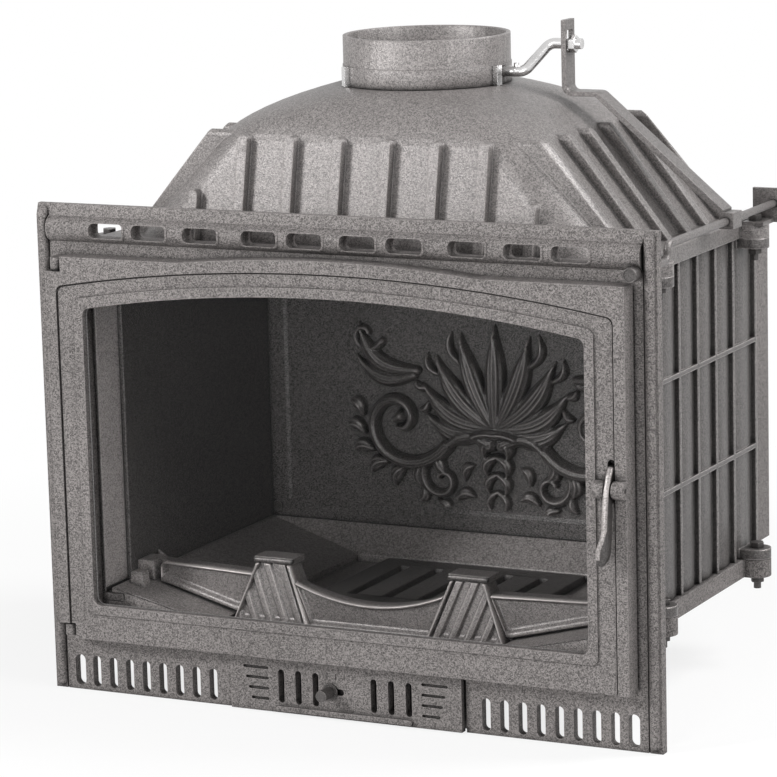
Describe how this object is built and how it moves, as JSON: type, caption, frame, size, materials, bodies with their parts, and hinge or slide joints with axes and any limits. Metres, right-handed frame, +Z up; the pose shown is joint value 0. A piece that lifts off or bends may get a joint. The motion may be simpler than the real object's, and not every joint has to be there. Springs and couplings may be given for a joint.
{
  "type": "fireplace insert",
  "caption": "Cast-iron fireplace insert: arched glass door, finned hood with flue spigot and damper, fluted sides, hearth with log guard, grate and ash drawer.",
  "frame": {"origin": "on the floor the insert stands on, straight below the flue axis", "axes": "+Z up, the door faces -Y, +X to the right when looking at the door"},
  "size_m": [0.7, 0.4765, 0.7],
  "materials": {
    "cast_grey": "satin grey casting",
    "cast_dark": "matt charcoal casting",
    "pane": "clear ceramic glass",
    "tape": "woven glass tape",
    "rope": "braided rope seal",
    "plated": "bright plated steel",
    "blackened": "blackened fixings",
    "sheet": "grey painted sheet"
  },
  "bodies": {
    "carcass": {"front_frame": "cast_grey", "frame_screws": "blackened", "latch_keeper": "blackened", "hinge_pins": "plated", "right_side_plate": "cast_grey", "left_side_plate": "cast_grey", "rear_plate": "cast_grey", "base_plate": "cast_grey", "hood": "cast_grey", "flue_collar": "cast_grey", "collar_clamps": "plated", "rod_bracket": "sheet", "upper_tie_bolts": "blackened", "upper_tie_nuts": "blackened", "lower_tie_bolts": "blackened", "lower_tie_nuts": "blackened", "right_liner": "cast_dark", "left_liner": "cast_dark", "fireback": "cast_dark", "fireback_screws": "blackened", "smoke_baffle": "cast_dark", "hearth_tray": "cast_dark", "grate": "cast_dark", "log_guard": "cast_dark", "guard_brackets": "cast_dark", "ash_casing": "sheet"},
    "door": {"door_frame": "cast_grey", "door_glass": "pane", "glass_gasket": "tape", "glass_clips": "plated", "glass_clip_screws": "plated", "door_rope_gasket": "rope", "handle_pin": "plated"},
    "handle": {"door_handle": "plated"},
    "drawer": {"drawer_front": "cast_grey", "ash_pan": "sheet"},
    "register": {"air_shutter": "sheet", "air_knob": "blackened"},
    "damper_control": {"damper_rod": "sheet", "damper_knob": "blackened", "damper_strap": "sheet"},
    "damper": {"damper_crank": "plated", "crank_set_screw": "plated", "crank_nut": "plated", "damper_plate": "cast_grey"}
  },
  "joints": [
    {"name": "door_hinge", "type": "hinge", "parent": "carcass", "child": "door", "pos_m": [-0.317, -0.239, 0.267], "axis": [0, 0, -1], "range_deg": [0, 115]},
    {"name": "handle_tip", "type": "hinge", "parent": "door", "child": "handle", "pos_m": [0.30975, -0.252, 0.271], "axis": [-1, 0, 0], "range_deg": [0, 60]},
    {"name": "drawer_slide", "type": "slide", "parent": "carcass", "child": "drawer", "axis": [0, -1, 0], "range_m": [0, 0.25]},
    {"name": "register_slide", "type": "slide", "parent": "drawer", "child": "register", "axis": [1, 0, 0], "range_m": [0, 0.012]},
    {"name": "damper_pull", "type": "slide", "parent": "carcass", "child": "damper_control", "axis": [0, -1, 0], "range_m": [0, 0.04261]},
    {"name": "damper_turn", "type": "hinge", "parent": "carcass", "child": "damper", "pos_m": [0, 0, 0.647], "axis": [1, 0, 0], "range_deg": [0, 75]}
  ],
  "couplings": [
    {"joint": "damper_turn", "follows": "damper_pull", "rad_per_m": 30.718}
  ]
}
